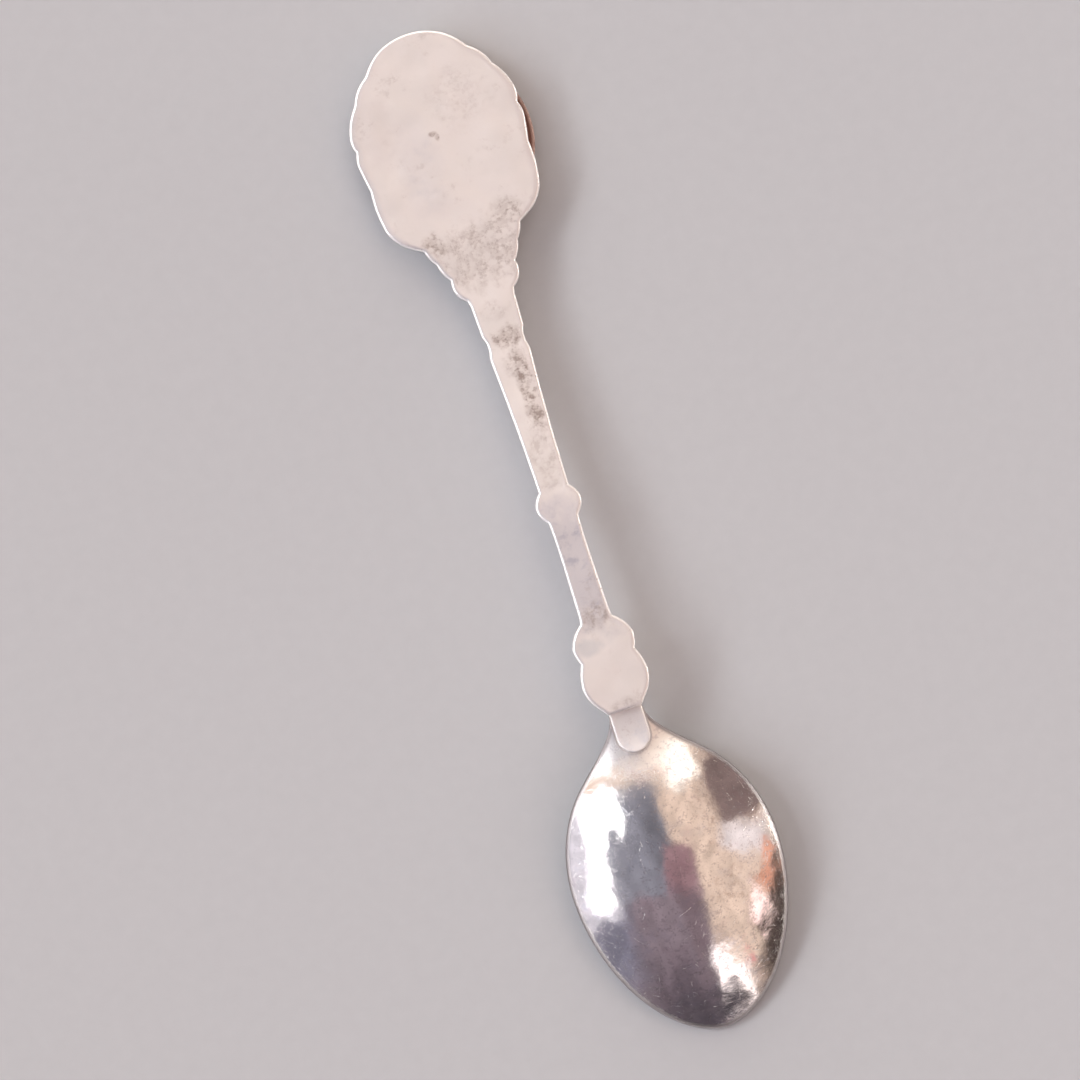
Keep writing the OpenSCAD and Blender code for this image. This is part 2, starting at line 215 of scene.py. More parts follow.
# Marks for the rim's painted dark reflection: they fade in over the outermost rings and cover the whole lip.
bowl_rim_shade = [smooth((share - 0.97) / 0.03) for share in shares]
for k in range(1, over_steps + under_steps + 1):
    # The lip turns over from the back's slope to the rim's edge, then rounds under to the hollow.
    t = k / over_steps
    angle = math.pi / 2 * (k - over_steps) / under_steps
    lip = []
    for (x, y), n in zip(bowl_outline, lip_aways):
        rim = rim_z(y)
        if k <= over_steps:
            inset = lip_inset * (1 - t) ** 2
            z = ((1 - t) ** 2 * outer_z(x - n.x * lip_inset, y - n.y * lip_inset)
                 + 2 * t * (1 - t) * (rim + rim_edge) + t * t * (rim + lip_middle))
        else:
            inset = lip_middle * (1 - math.cos(angle))
            z = rim + lip_middle * (1 - math.sin(angle))
        lip.append((x - n.x * inset, y - n.y * inset, z))
    bowl_loops.append(lip)
    bowl_rim_shade.append(1.0)
hollow = rings(bowl_centre, hollow_outline, reversed(shares),
               lambda x, y, share: max(inner_z(x, y), rim_z(y) + hollow_edge * smooth(share * 4)))
bowl_loops += hollow
bowl_rim_shade += [0.0] * len(hollow)
bowl = skin("polished_bowl", bowl_loops, (0, widest_y, outer_z(0, widest_y)),
            (0, widest_y, inner_z(0, widest_y)), bowl_rim_shade)


def wire(tree, kind, settings=None, inputs=None):
    """Adds a shader node; an input is a socket to link from or a plain value."""
    made = tree.nodes.new("ShaderNode" + kind)
    for name, value in (settings or {}).items():
        setattr(made, name, value)
    for name, value in (inputs or {}).items():
        if isinstance(value, bpy.types.NodeSocket):
            tree.links.new(value, made.inputs[name])
        else:
            made.inputs[name].default_value = value
    return made


def sums(tree, operation, a, b=0.0, clamp=False):
    return wire(tree, "Math", {"operation": operation, "use_clamp": clamp}, {0: a, 1: b}).outputs[0]


def blend(tree, share, a, b, kind="MIX"):
    """Mixes two colours."""
    made = wire(tree, "Mix", {"data_type": "RGBA", "blend_type": kind})
    for name, value in (("Factor", share), ("A", a), ("B", b)):
        socket = [s for s in made.inputs if s.name == name and s.enabled][0]
        if isinstance(value, bpy.types.NodeSocket):
            tree.links.new(value, socket)
        else:
            socket.default_value = (*value, 1) if isinstance(value, tuple) else value
    return [s for s in made.outputs if s.enabled][0]


def group(name, takes, gives):
    """A shader node group; takes and gives map each socket's name to its kind and value."""
    tree = bpy.data.node_groups.new(name, "ShaderNodeTree")
    for label, (kind, value) in takes.items():
        socket = tree.interface.new_socket(label, in_out="INPUT", socket_type="NodeSocket" + kind)
        if value is not None:
            socket.default_value = value
    for label in gives:
        tree.interface.new_socket(label, in_out="OUTPUT", socket_type="NodeSocketFloat")
    return tree, tree.nodes.new("NodeGroupInput").outputs, tree.nodes.new("NodeGroupOutput").inputs


def use(tree, effect, **inputs):
    """Places an effect's group in a material."""
    values = {name.replace("_", " "): value for name, value in inputs.items()}
    return wire(tree, "Group", {"node_tree": effect}, values).outputs[0]


# Hairline scratches: threads of stretched noise, turned another way in each small cell.
scratches, sockets, ends = group("hairline_scratches", {
    "Place": ("Vector", None), "Fineness": ("Float", 1.0), "Cover": ("Float", 0.5)}, ["Mask"])
threads = None
level = sums(scratches, "SUBTRACT", 0.76, sums(scratches, "MULTIPLY", sockets["Cover"], 0.2))
for cell, length in ((0.31, 0.16), (0.47, 0.3), (0.77, 0.22)):
    cells = wire(scratches, "TexVoronoi", None, {"Vector": sockets["Place"], "Scale": cell}).outputs["Color"]
    angle = sums(scratches, "MULTIPLY", wire(scratches, "SeparateXYZ", None, {0: cells}).outputs[0], 6.3)
    turned = wire(scratches, "VectorRotate", {"rotation_type": "Z_AXIS"},
                  {"Vector": sockets["Place"], "Angle": angle}).outputs[0]
    drawn = wire(scratches, "VectorMath", {"operation": "MULTIPLY"},
                 {0: turned, 1: (9.0, length, 1.0)}).outputs[0]
    grain = wire(scratches, "TexNoise", None, {
        "Vector": drawn, "Scale": sockets["Fineness"], "Detail": 2.0, "Distortion": 0.5}).outputs[0]
    thread = wire(scratches, "MapRange", None, {
        "Value": grain, "From Min": level, "From Max": sums(scratches, "ADD", level, 0.07)}).outputs[0]
    threads = thread if threads is None else sums(scratches, "MAXIMUM", threads, thread)
scratches.links.new(threads, ends["Mask"])

# Tarnish in specks: noise in two sizes, cut off at a level.
specks, sockets, ends = group("tarnish_specks", {
    "Place": ("Vector", None), "Size": ("Float", 1.0), "Cover": ("Float", 0.5),
    "Softness": ("Float", 0.1)}, ["Mask"])
finer = sums(specks, "DIVIDE", 1.0, sockets["Size"])
coarse = wire(specks, "TexNoise", None, {
    "Vector": sockets["Place"], "Scale": sums(specks, "MULTIPLY", finer, 0.35), "Detail": 2.0}).outputs[0]
fine = wire(specks, "TexNoise", None, {
    "Vector": sockets["Place"], "Scale": finer, "Detail": 5.0, "Roughness": 0.62}).outputs[0]
both = sums(specks, "ADD", sums(specks, "MULTIPLY", coarse, 0.45), sums(specks, "MULTIPLY", fine, 0.55))
level = sums(specks, "SUBTRACT", 0.64, sums(specks, "MULTIPLY", sockets["Cover"], 0.24))
cut = wire(specks, "MapRange", {"interpolation_type": "SMOOTHSTEP"}, {
    "Value": both, "From Min": level,
    "From Max": sums(specks, "ADD", level, sockets["Softness"])}).outputs[0]
specks.links.new(cut, ends["Mask"])

# One place on the surface: an oval that fades out, with a wandering edge.
patch, sockets, ends = group("patch", {
    "Place": ("Vector", None), "Middle": ("Vector", (0, 0, 0)), "Reach": ("Vector", (1, 1, 50)),
    "Softness": ("Float", 0.5), "Wander": ("Float", 0.3)}, ["Mask"])
wander = wire(patch, "TexNoise", None, {"Vector": sockets["Place"], "Scale": 0.7, "Detail": 3.0}).outputs[0]
away = wire(patch, "VectorMath", {"operation": "SUBTRACT"}, {0: sockets["Place"], 1: sockets["Middle"]})
away = wire(patch, "VectorMath", {"operation": "DIVIDE"}, {0: away.outputs[0], 1: sockets["Reach"]})
away = wire(patch, "VectorMath", {"operation": "LENGTH"}, {0: away.outputs[0]}).outputs["Value"]
shift = sums(patch, "MULTIPLY", sums(patch, "SUBTRACT", wander, 0.5), sockets["Wander"])
away = sums(patch, "ADD", away, sums(patch, "MULTIPLY", shift, 4.0))
fade = wire(patch, "MapRange", {"interpolation_type": "SMOOTHSTEP"}, {
    "Value": away, "From Min": sums(patch, "SUBTRACT", 1.0, sockets["Softness"]),
    "From Max": sums(patch, "ADD", 1.0, sockets["Softness"]), "To Min": 1.0, "To Max": 0.0}).outputs[0]
patch.links.new(fade, ends["Mask"])


def material(name):
    """An empty material with its Principled shader and the piece's own place in millimetres."""
    made = bpy.data.materials.new(name)
    made.use_nodes = True
    tree = made.node_tree
    shader = tree.nodes["Principled BSDF"]
    own = wire(tree, "TexCoord").outputs["Object"]
    place = wire(tree, "VectorMath", {"operation": "SCALE"}, {0: own, "Scale": 1 / MM}).outputs[0]
    return made, tree, shader, place


def set_shader(shader, **values):
    for name, value in values.items():
        socket = shader.inputs[name.replace("_", " ")]
        if isinstance(value, bpy.types.NodeSocket):
            shader.id_data.links.new(value, socket)
        else:
            socket.default_value = (*value, 1) if isinstance(value, tuple) else value


bowl_metal, tree, shader, place = material("polished_plate")
haze = use(tree, specks, Place=place, Size=1.3, Cover=0.5, Softness=0.14)
bloom = use(tree, specks, Place=place, Size=2.1, Cover=0.5, Softness=0.14)
grit = use(tree, specks, Place=place, Size=0.24, Cover=0.5, Softness=0.08)
deep = use(tree, scratches, Place=place, Fineness=1.2, Cover=0.2)
shallow = use(tree, scratches, Place=place, Fineness=4.0, Cover=0.75)
heat = use(tree, patch, Place=place, Middle=(0, -22.5, 5), Reach=(5, 6.5, 50), Softness=0.5, Wander=0.1)
stain = None
brown_places = (((5.6, -42.6, 5), (3.2, 2.6, 50)), ((5.0, -33.5, 5), (1.5, 5.5, 50)))
for middle, reach in brown_places:
    area = use(tree, patch, Place=place, Middle=middle, Reach=reach, Softness=0.6, Wander=0.2)
    here = sums(tree, "MULTIPLY", area, use(tree, specks, Place=place, Size=0.5, Cover=0.7, Softness=0.3))
    stain = here if stain is None else sums(tree, "MAXIMUM", stain, here)
colour = blend(tree, sums(tree, "MULTIPLY", haze, 0.4), silver, (0.74, 0.75, 0.80))
colour = blend(tree, sums(tree, "MULTIPLY", bloom, 0.35), colour, (0.80, 0.68, 0.70))
colour = blend(tree, sums(tree, "MULTIPLY", grit, 0.45), colour, (0.52, 0.48, 0.49))
colour = blend(tree, sums(tree, "MULTIPLY", stain, 0.75), colour, (0.46, 0.36, 0.31))
# Painted dark reflection: the rim and lip are darkened towards dark grey, standing in for the dark room
# mirrored at the steep rim; they are also made rougher, as by wear.
rim_wear_and_shade = wire(tree, "Attribute", {"attribute_name": "edge_wear_and_shade"}).outputs["Fac"]
colour = blend(tree, sums(tree, "MULTIPLY", rim_wear_and_shade, 0.9), colour, (0.31, 0.285, 0.29))
rough = sums(tree, "ADD", 0.09, sums(tree, "MULTIPLY", haze, 0.03))
rough = sums(tree, "ADD", rough, sums(tree, "MULTIPLY", heat, 0.22))
rough = sums(tree, "ADD", rough, sums(tree, "MULTIPLY", grit, 0.1))
rough = sums(tree, "ADD", rough, sums(tree, "MULTIPLY", shallow, 0.08))
rough = sums(tree, "ADD", rough, sums(tree, "MULTIPLY", deep, 0.2))
rough = sums(tree, "ADD", rough, sums(tree, "MULTIPLY", rim_wear_and_shade, 0.25), clamp=True)
waves = wire(tree, "TexNoise", None, {"Vector": place, "Scale": 0.3, "Detail": 1.0}).outputs[0]
ripples = wire(tree, "TexNoise", None, {"Vector": place, "Scale": 1.7, "Detail": 5.0}).outputs[0]
height = sums(tree, "ADD", sums(tree, "MULTIPLY", waves, 0.8), sums(tree, "MULTIPLY", ripples, 0.09))
height = sums(tree, "SUBTRACT", height, sums(tree, "MULTIPLY", deep, 0.04))
bump = wire(tree, "Bump", None, {"Height": height, "Strength": 1.0, "Distance": 0.1 * MM}).outputs[0]
set_shader(shader, Metallic=1.0, Base_Color=colour, Roughness=rough, Normal=bump)
bowl.data.materials.append(bowl_metal)
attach(bowl, "root")
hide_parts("bowl")

# ---- Handle ----------------------------------------------------------------------------
# The handle is one casting in zinc alloy, silver-plated: scalloped finial plate, neck, shaft
# with a ring, two-lobed knop and the tab. Its back is flat with rounded edges, and its front
# carries a raised border and the cast ornament.

crest_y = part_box("handle")[1].y / MM
knop_end_y = heel_y + 0.02
plate_end_y = 33.0
knop_top_y = -17.0
plate_back_z = 3.4
knop_rise = 2.35
plate_thickness = 1.3
shaft_thickness = 1.9
knop_thickness = 2.4
back_round = 0.32
front_round = 0.18
border = 0.75
border_slope = 0.06
relief = 0.3
back_wear = 0.6
back_columns = 30
front_columns = 72
badge_x = 0.45
badge_y = 44.5

# The right edge from the crest down: each stretch is an arc that ends at (x, y) and bows
# outwards by the third number.
edge_arcs = [
    (5.88, 54.31, 0.9),
    (7.95, 51.67, 0.3), (9.55, 48.3, 0.25), (9.3, 46.72, 0.12),
    (9.62, 45.3, 0.08), (9.15, 42.2, 0.04),
    (9.25, 40.1, 0.03), (8.9, 37.4, 0.05), (7.36, 35.18, 0.18), (5.57, 34.08, 0.03),
    (4.7, 32.3, 0.14), (3.74, 30.2, 0.18), (2.72, 27.45, 0.5),
    (2.55, 26.7, 0), (2.42, 23.1, 0), (2.12, 22.3, -0.02), (2.12, 21.45, 0),
    (2.33, 20.4, 0.02), (1.82, 9.5, -0.05), (1.73, 4.9, 0),
    (1.73, 1.45, 0.85),
    (1.63, -2.0, -0.03), (1.72, -8.8, 0), (1.82, -10.2, -0.03),
    (3.51, -12.64, 0.27), (3.09, -14.4, 0.1),
    (3.79, -17.0, 0.14), (2.55, -19.8, 0.28), (heel_half, knop_end_y, 0),
]


def follow(start, arcs, spacing=0.3):
    """Points along the arcs, about a spacing apart."""
    points = [Vector(start)]
    for x, y, bow in arcs:
        start, end = points[-1], Vector((x, y))
        run = end - start
        left = Vector((-run.y, run.x)).normalized()
        steps = max(2, round(run.length / spacing))
        for i in range(1, steps + 1):
            t = i / steps
            points.append(start + run * t + left * bow * 4 * t * (1 - t))
    return points


def along(y, table):
    """A value between the (y, value) pairs of a table that runs upwards in y."""
    for (y0, v0), (y1, v1) in zip(table, table[1:]):
        if y <= y1:
            return v0 + (v1 - v0) * smooth((y - y0) / (y1 - y0))
    return table[-1][1]


def back_z(y):
    return plate_back_z + knop_rise * smooth((plate_end_y - y) / (plate_end_y - knop_top_y))


def front_z(y):
    return back_z(y) - along(y, [(knop_end_y, knop_thickness), (-12.6, knop_thickness),
                                 (-9.5, shaft_thickness), (22, shaft_thickness),
                                 (plate_end_y, plate_thickness), (crest_y, plate_thickness)])


def volute(x, y, middle_x, middle_y, reach):
    """A coiled tendril."""
    dx, dy = abs(x) - middle_x, y - middle_y
    away = math.hypot(dx, dy)
    coil = 0.5 + 0.5 * math.cos(2 * math.pi * away / 0.95 - math.atan2(dy, dx))
    return coil * smooth((reach - away) / 0.3)


def shell(x, y, root_y, reach, ribs, half_angle, down=False):
    """A fan of ribs from a root on the middle line."""
    dy = root_y - y if down else y - root_y
    away, angle = math.hypot(x, dy), math.atan2(x, dy)
    rib = 0.35 + 0.65 * abs(math.cos(angle * ribs))
    return rib * smooth((reach - away) / 0.35) * smooth((half_angle - abs(angle)) / 0.12)


def ornament(x, y):
    """Height of the cast ornament on the front above its sunk ground, from 0 to 1."""
    seat = smooth((9.2 - math.hypot(x - badge_x, y - badge_y)) / 0.2)
    if y > 33.5:
        crest = shell(x, y, 51.9, 4.4, 9, 1.25)
        foot = shell(x, y, 37.6, 4.2, 7, 1.1, down=True)
        return max(seat, crest, foot, volute(x, y, 7.1, 50.6, 1.5), volute(x, y, 6.9, 37.9, 1.9))
    if y > 21.5:
        chevrons = 0.5 + 0.5 * math.cos(2 * math.pi * (y + 0.9 * abs(x)) / 1.3)
        return max(chevrons * smooth(abs(x) / 0.5), 0.9 * smooth((0.45 - abs(x)) / 0.15))
    if y > -9.8:
        ring = smooth((1.5 - abs(y - 3.15)) / 0.3)
        beads = (0.6 + 0.4 * math.cos(2 * math.pi * y / 0.85)) * smooth((0.5 - abs(x)) / 0.25)
        return max(ring * (0.55 + 0.45 * math.cos(2 * math.pi * (y - 3.15) / 1.5)), beads)
    upper = shell(x, y, -14.6, 3.6, 5, 1.4)
    lower = shell(x, y, -14.2, 5.4, 6, 1.2, down=True)
    return upper if y > -14.4 else lower


def edge_loop(edge, aways, inset, height):
    """The outline drawn in by an inset: down the right side and up the left."""
    right = [p - n * inset for p, n in zip(edge, aways)]
    loop = [(p.x, p.y, height(p.y)) for p in right]
    return loop + [(-x, y, z) for x, y, z in reversed(loop[1:])]


def cap(points, faces, base, count, columns, height):
    """Fills a loop of points with rows of quads from its left side to its right."""
    rows = count // 2
    above = [base] * (columns + 1)
    for i in range(1, rows):
        right, left = base + i, base + count - i
        (x1, y1, _), (x0, y0, _) = points[right], points[left]
        row = [left]
        for j in range(1, columns):
            x = x0 + (x1 - x0) * j / columns
            points.append((x, y0 + (y1 - y0) * j / columns, height(x, y0)))
            row.append(len(points) - 1)
        row.append(right)
        for j in range(columns):
            corners = [above[j], above[j + 1], row[j + 1], row[j]]
            faces.append(tuple(dict.fromkeys(corners)))
        above = row
    # The last row meets the loop's single end edge in two fans.
    right, left = base + rows, base + rows + 1
    middle = columns // 2
    faces += [(above[j], above[j + 1], left if j < middle else right) for j in range(columns)]
    faces.append((above[middle], right, left))


edge = follow((0, crest_y), edge_arcs)
aways = [outward(edge, i, closed=False) for i in range(len(edge))]
aways[0] = Vector((0, 1))
aways[-1] = Vector((0.85, -0.85))
layers = []
for k in range(7):
    turn = math.pi / 2 * k / 6
    layers.append((back_round * (1 - math.sin(turn)),
                   lambda y, drop=back_round * (1 - math.cos(turn)): back_z(y) - drop, 1.0))
for k in range(5):
    turn = math.pi / 2 * (1 - k / 4)
    layers.append((front_round * (1 - math.sin(turn)),
                   lambda y, lift=front_round * (1 - math.cos(turn)): front_z(y) + lift, 1.0))
layers.append((border - 0.12, front_z, 0.0))
layers.append((border, lambda y: front_z(y) + border_slope, 0.0))
layers.append((border + 0.16, lambda y: front_z(y) + relief, 0.0))
loops = [edge_loop(edge, aways, inset, height) for inset, height, _ in layers]
count = len(loops[0])
points = [p for loop in loops for p in loop]
faces = [(k * count + i, k * count + (i + 1) % count,
          (k + 1) * count + (i + 1) % count, (k + 1) * count + i)
         for k in range(len(loops) - 1) for i in range(count)]
wear_and_shade = [mark for _, _, mark in layers for _ in range(count)]
wear_and_shade[:count] = [back_wear] * count
cap(points, faces, 0, count, back_columns, lambda x, y: back_z(y))
cap(points, faces, (len(loops) - 1) * count, count, front_columns,
    lambda x, y: front_z(y) + relief * (1 - ornament(x, y)))
wear_and_shade += [0.0] * (len(points) - len(wear_and_shade))
handle = solid("cast_handle", points, faces, wear_and_shade)

tab_half = 1.87
tab_thickness = 0.4
tab_edge = 0.03
tab_taper = 0.35
tab_end_y = -25.4
solder_gap = 0.12
tab_turn_y = tab_end_y + tab_half
tab_outline = [(tab_half, knop_end_y + 1.1), (tab_half, knop_end_y - 0.4), (tab_half, knop_end_y - 1.9)]
tab_outline += [(tab_half * math.cos(a), tab_turn_y - tab_half * math.sin(a))
                for a in [math.pi * i / 24 for i in range(25)]]
tab_outline += [(-x, y) for x, y in reversed(tab_outline[:3])]
tab_shares = [0.13 * k for k in range(1, 6)] + [1 - 0.35 * (1 - k / 12) ** 2 for k in range(1, 13)]


def tab_top(x, y, share):
    # The tab thins towards its end, and its edge is rounded.
    thick = (tab_thickness - tab_edge) * (1 - tab_taper * smooth((knop_end_y - y) / 4.6))
    return outer_z(0, y) + solder_gap + tab_edge + thick * (1 - share**26) ** 0.5


def tab_under(x, y, share):
    return outer_z(0, y) + solder_gap


tab_middle = (0, -22.9)
tab_loops = rings(tab_middle, tab_outline, tab_shares, tab_top)
tab_loops += rings(tab_middle, tab_outline, [1.0, 0.6], tab_under)
tab = skin("handle_tab", tab_loops, (*tab_middle, tab_top(*tab_middle, 0)),
           (*tab_middle, tab_under(*tab_middle, 0)))

handle_metal, tree, shader, place = material("satin_plate")
clouds = wire(tree, "TexNoise", None, {"Vector": place, "Scale": 0.2, "Detail": 3.0}).outputs[0]
clouds = wire(tree, "MapRange", {"interpolation_type": "SMOOTHSTEP"}, {
    "Value": clouds, "From Min": 0.42, "From Max": 0.65}).outputs[0]
colour = blend(tree, clouds, (1.0, 0.96, 0.92), (0.965, 0.93, 0.89))
mottle = use(tree, specks, Place=place, Size=0.9, Cover=0.6, Softness=0.2)
# Painted reflection, broken up by specks: greyer, cooler places on the back and tab where the sloping metal
# mirrors greyer parts of the room; middle, reach, share and tint.
shaded_places = (
    ((0, -3.9, 5), (6, 6.6, 50), 1.15, (0.60, 0.59, 0.64)),
    ((-0.4, 2.4, 5), (2, 1.8, 50), 0.4, (0.74, 0.70, 0.73)),
    ((-3.0, 43, 3), (2.2, 5.0, 50), 0.4, (0.76, 0.745, 0.76)),
    ((-6.8, 49, 3), (2.4, 4, 50), 0.35, (0.76, 0.70, 0.67)),
    ((-1.7, -12.9, 5), (1.5, 0.9, 50), 0.7, (0.62, 0.655, 0.68)),
    ((0, -24.0, 5), (3, 3.2, 50), 0.9, (0.77, 0.765, 0.79)),
)
for middle, reach, share, tint in shaded_places:
    shade = use(tree, patch, Place=place, Middle=middle, Reach=reach, Softness=0.45, Wander=0.2)
    shade = sums(tree, "MULTIPLY", shade, sums(tree, "ADD", sums(tree, "MULTIPLY", mottle, 0.5), 0.5))
    colour = blend(tree, sums(tree, "MULTIPLY", shade, share), colour, tint)

# Tarnish gathers where fingers don't rub: the foot of the plate, the neck, the shaft's right side.
faint = use(tree, specks, Place=place, Size=1.2, Cover=0.5, Softness=0.16)
grain = use(tree, specks, Place=place, Size=0.27, Cover=0.78, Softness=0.14)
dirt = use(tree, specks, Place=place, Size=0.55, Cover=0.93, Softness=0.13)
dirt = sums(tree, "MULTIPLY", dirt, sums(tree, "ADD", sums(tree, "MULTIPLY", grain, 0.65), 0.35))
stained = sums(tree, "MULTIPLY", sums(tree, "MULTIPLY", faint, grain), 0.25)
# Middle, reach and strength.
stained_places = (
    ((0.8, 32.0, 3), (5.2, 3.4, 50), 0.6),
    ((4.4, 35.4, 3), (1.7, 1.5, 50), 0.85),
    ((-4.2, 34.2, 3), (1.2, 1.2, 50), 0.85),
    ((0.4, 22.3, 4), (1.6, 1.0, 50), 1.05),
    ((0.8, 16.2, 4), (0.95, 5.2, 50), 1.15),
    ((0.2, 19.4, 4), (1.2, 1.6, 50), 0.6),
    ((-0.2, 25.6, 4), (1.5, 1.0, 50), 0.35),
    ((0.2, 8.6, 5), (1.6, 3.2, 50), 0.4),
    ((0.1, -9.8, 5), (1.8, 1.3, 50), 0.65),
    ((3.2, 49.0, 3), (3.0, 3.0, 50), 0.24),
    ((0.2, -20.0, 5), (2.0, 0.7, 50), 0.4),
)
for middle, reach, strength in stained_places:
    area = use(tree, patch, Place=place, Middle=middle, Reach=reach, Softness=0.45, Wander=0.3)
    here = sums(tree, "ADD", sums(tree, "MULTIPLY", dirt, 0.85), 0.15)
    here = sums(tree, "MULTIPLY", sums(tree, "MULTIPLY", area, here), strength)
    stained = sums(tree, "MAXIMUM", stained, here, clamp=True)
pitted_places = (((-0.66, 46.12, 3), (0.42, 0.26, 50)), ((-0.3, 45.62, 3), (0.22, 0.4, 50)))
for middle, reach in pitted_places:
    pit = use(tree, patch, Place=place, Middle=middle, Reach=reach, Softness=0.5, Wander=0.25)
    pit = sums(tree, "MULTIPLY", pit, sums(tree, "ADD", sums(tree, "MULTIPLY", grain, 0.5), 0.4))
    stained = sums(tree, "MAXIMUM", stained, pit, clamp=True)
colour = blend(tree, sums(tree, "MULTIPLY", stained, 0.88), colour, (0.41, 0.33, 0.29))
edge_wear = wire(tree, "Attribute", {"attribute_name": "edge_wear_and_shade"}).outputs["Fac"]
colour = blend(tree, sums(tree, "MULTIPLY", edge_wear, 0.85), colour, (0.97, 0.95, 0.94))
marks = use(tree, scratches, Place=place, Fineness=1.4, Cover=0.5)
rough = sums(tree, "ADD", 0.6, sums(tree, "MULTIPLY", stained, 0.12))
rough = sums(tree, "SUBTRACT", rough, sums(tree, "MULTIPLY", edge_wear, 0.25))
rough = sums(tree, "SUBTRACT", rough, sums(tree, "MULTIPLY", marks, 0.14), clamp=True)
swell = wire(tree, "TexNoise", None, {"Vector": place, "Scale": 0.25, "Detail": 1.0}).outputs[0]
casting = wire(tree, "TexNoise", None, {"Vector": place, "Scale": 3.0, "Detail": 4.0}).outputs[0]
height = sums(tree, "ADD", sums(tree, "MULTIPLY", casting, 0.25), sums(tree, "MULTIPLY", swell, 9.0))
height = sums(tree, "SUBTRACT", height, sums(tree, "MULTIPLY", marks, 0.25))
bump = wire(tree, "Bump", None, {"Height": height, "Strength": 1.0, "Distance": 0.02 * MM}).outputs[0]
set_shader(shader, Metallic=0.72, Base_Color=colour, Roughness=rough, Normal=bump)
for piece in (handle, tab):
    piece.data.materials.append(handle_metal)
    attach(piece, "root")
    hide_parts("handle")

# ---- Solder seam -----------------------------------------------------------------------
# Soft solder run between the tab and the bowl's back. It stands out round the tab as a thin
# bead and has gone dull and grey.

solder_metal, tree, shader, place = material("dull_solder")
pits = use(tree, specks, Place=place, Size=0.25, Cover=0.55, Softness=0.25)
colour = blend(tree, pits, (0.80, 0.77, 0.755), (0.55, 0.52, 0.51))
rough = sums(tree, "ADD", 0.42, sums(tree, "MULTIPLY", pits, 0.25))
bump = wire(tree, "Bump", None, {"Height": pits, "Strength": 0.5, "Distance": 0.03 * MM}).outputs[0]
set_shader(shader, Metallic=1.0, Base_Color=colour, Roughness=rough, Normal=bump)
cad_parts["bowl_solder"].data.materials.clear()
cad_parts["bowl_solder"].data.materials.append(solder_metal)

# ---- Badge tray and adhesive -----------------------------------------------------------
# The tray is a die-struck copper disc: raised lines divide the enamel cells on its front, and
# its back is plain, brown with age, with a paler sloping rim. Clear epoxy glues it on.

copper, tree, shader, place = material("aged_copper")
tray_back_z = 2.0
back_radius = 9.36
back_disc = use(tree, patch, Place=place, Middle=(badge_x, badge_y, tray_back_z),
                Reach=(back_radius, back_radius, 50), Softness=0.01, Wander=0.0)
spots = use(tree, specks, Place=place, Size=0.5, Cover=0.5, Softness=0.3)
rim_colour = blend(tree, spots, (0.36, 0.24, 0.205), (0.22, 0.135, 0.115))
back_colour = blend(tree, spots, (0.15, 0.075, 0.06), (0.09, 0.045, 0.04))
high = wire(tree, "SeparateXYZ", None, {0: place}).outputs[2]
on_back = sums(tree, "GREATER_THAN", high, tray_back_z - 0.25)
colour = blend(tree, sums(tree, "MULTIPLY", back_disc, on_back), rim_colour, back_colour)
rough = sums(tree, "ADD", 0.33, sums(tree, "MULTIPLY", spots, 0.2))
brushed = use(tree, scratches, Place=place, Fineness=1.5, Cover=0.7)
bump = wire(tree, "Bump", None, {"Height": brushed, "Strength": 0.4, "Distance": 0.02 * MM}).outputs[0]
set_shader(shader, Metallic=1.0, Base_Color=colour, Roughness=rough, Normal=bump)
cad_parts["badge_tray"].data.materials.clear()
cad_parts["badge_tray"].data.materials.append(copper)

glue, tree, shader, place = material("old_epoxy")
bubbles = use(tree, specks, Place=place, Size=0.6, Cover=0.4, Softness=0.2)
colour = blend(tree, bubbles, (0.66, 0.55, 0.33), (0.80, 0.72, 0.52))
set_shader(shader, Base_Color=colour, Roughness=0.3)
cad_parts["badge_adhesive"].data.materials.clear()
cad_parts["badge_adhesive"].data.materials.append(glue)

# ---- Enamel ----------------------------------------------------------------------------
# Soft enamel, one colour to each cell: coloured resin wiped in, cured and left a little
# uneven. The picture is a lake with a boat under mountains, inside a plain band.

enamels = {
    "enamel_band": (0.02, 0.05, 0.22), "enamel_sky": (0.35, 0.62, 0.86),
    "enamel_sun": (0.95, 0.62, 0.05), "enamel_mountains": (0.24, 0.24, 0.45),
    "enamel_snow": (0.90, 0.91, 0.92), "enamel_hills": (0.28, 0.50, 0.09),
    "enamel_trees": (0.01, 0.14, 0.05), "enamel_lake": (0.03, 0.20, 0.46),
    "enamel_sails": (0.88, 0.84, 0.72), "enamel_hull": (0.50, 0.03, 0.02),
}
for name, paint in enamels.items():
    resin, tree, shader, place = material(name + "_resin")
    flow = wire(tree, "TexNoise", None, {"Vector": place, "Scale": 1.1, "Detail": 3.0}).outputs[0]
    darker = tuple(0.72 * c for c in paint)
    colour = blend(tree, flow, darker, tuple(min(1, 1.2 * c) for c in paint))
    grains = use(tree, specks, Place=place, Size=0.2, Cover=0.25, Softness=0.1)
    colour = blend(tree, sums(tree, "MULTIPLY", grains, 0.25), colour, (0.9, 0.9, 0.9))
    bump = wire(tree, "Bump", None, {"Height": flow, "Strength": 0.5, "Distance": 0.05 * MM}).outputs[0]
    set_shader(shader, Base_Color=colour, Roughness=0.22, Coat_Weight=0.5, Normal=bump)
    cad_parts[name].data.materials.clear()
    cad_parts[name].data.materials.append(resin)

# ---- Badge dome ------------------------------------------------------------------------
# Clear epoxy, poured on the tray so that its own surface tension domes it. The spoon rests
# on the dome, so its crown has fine wear marks.

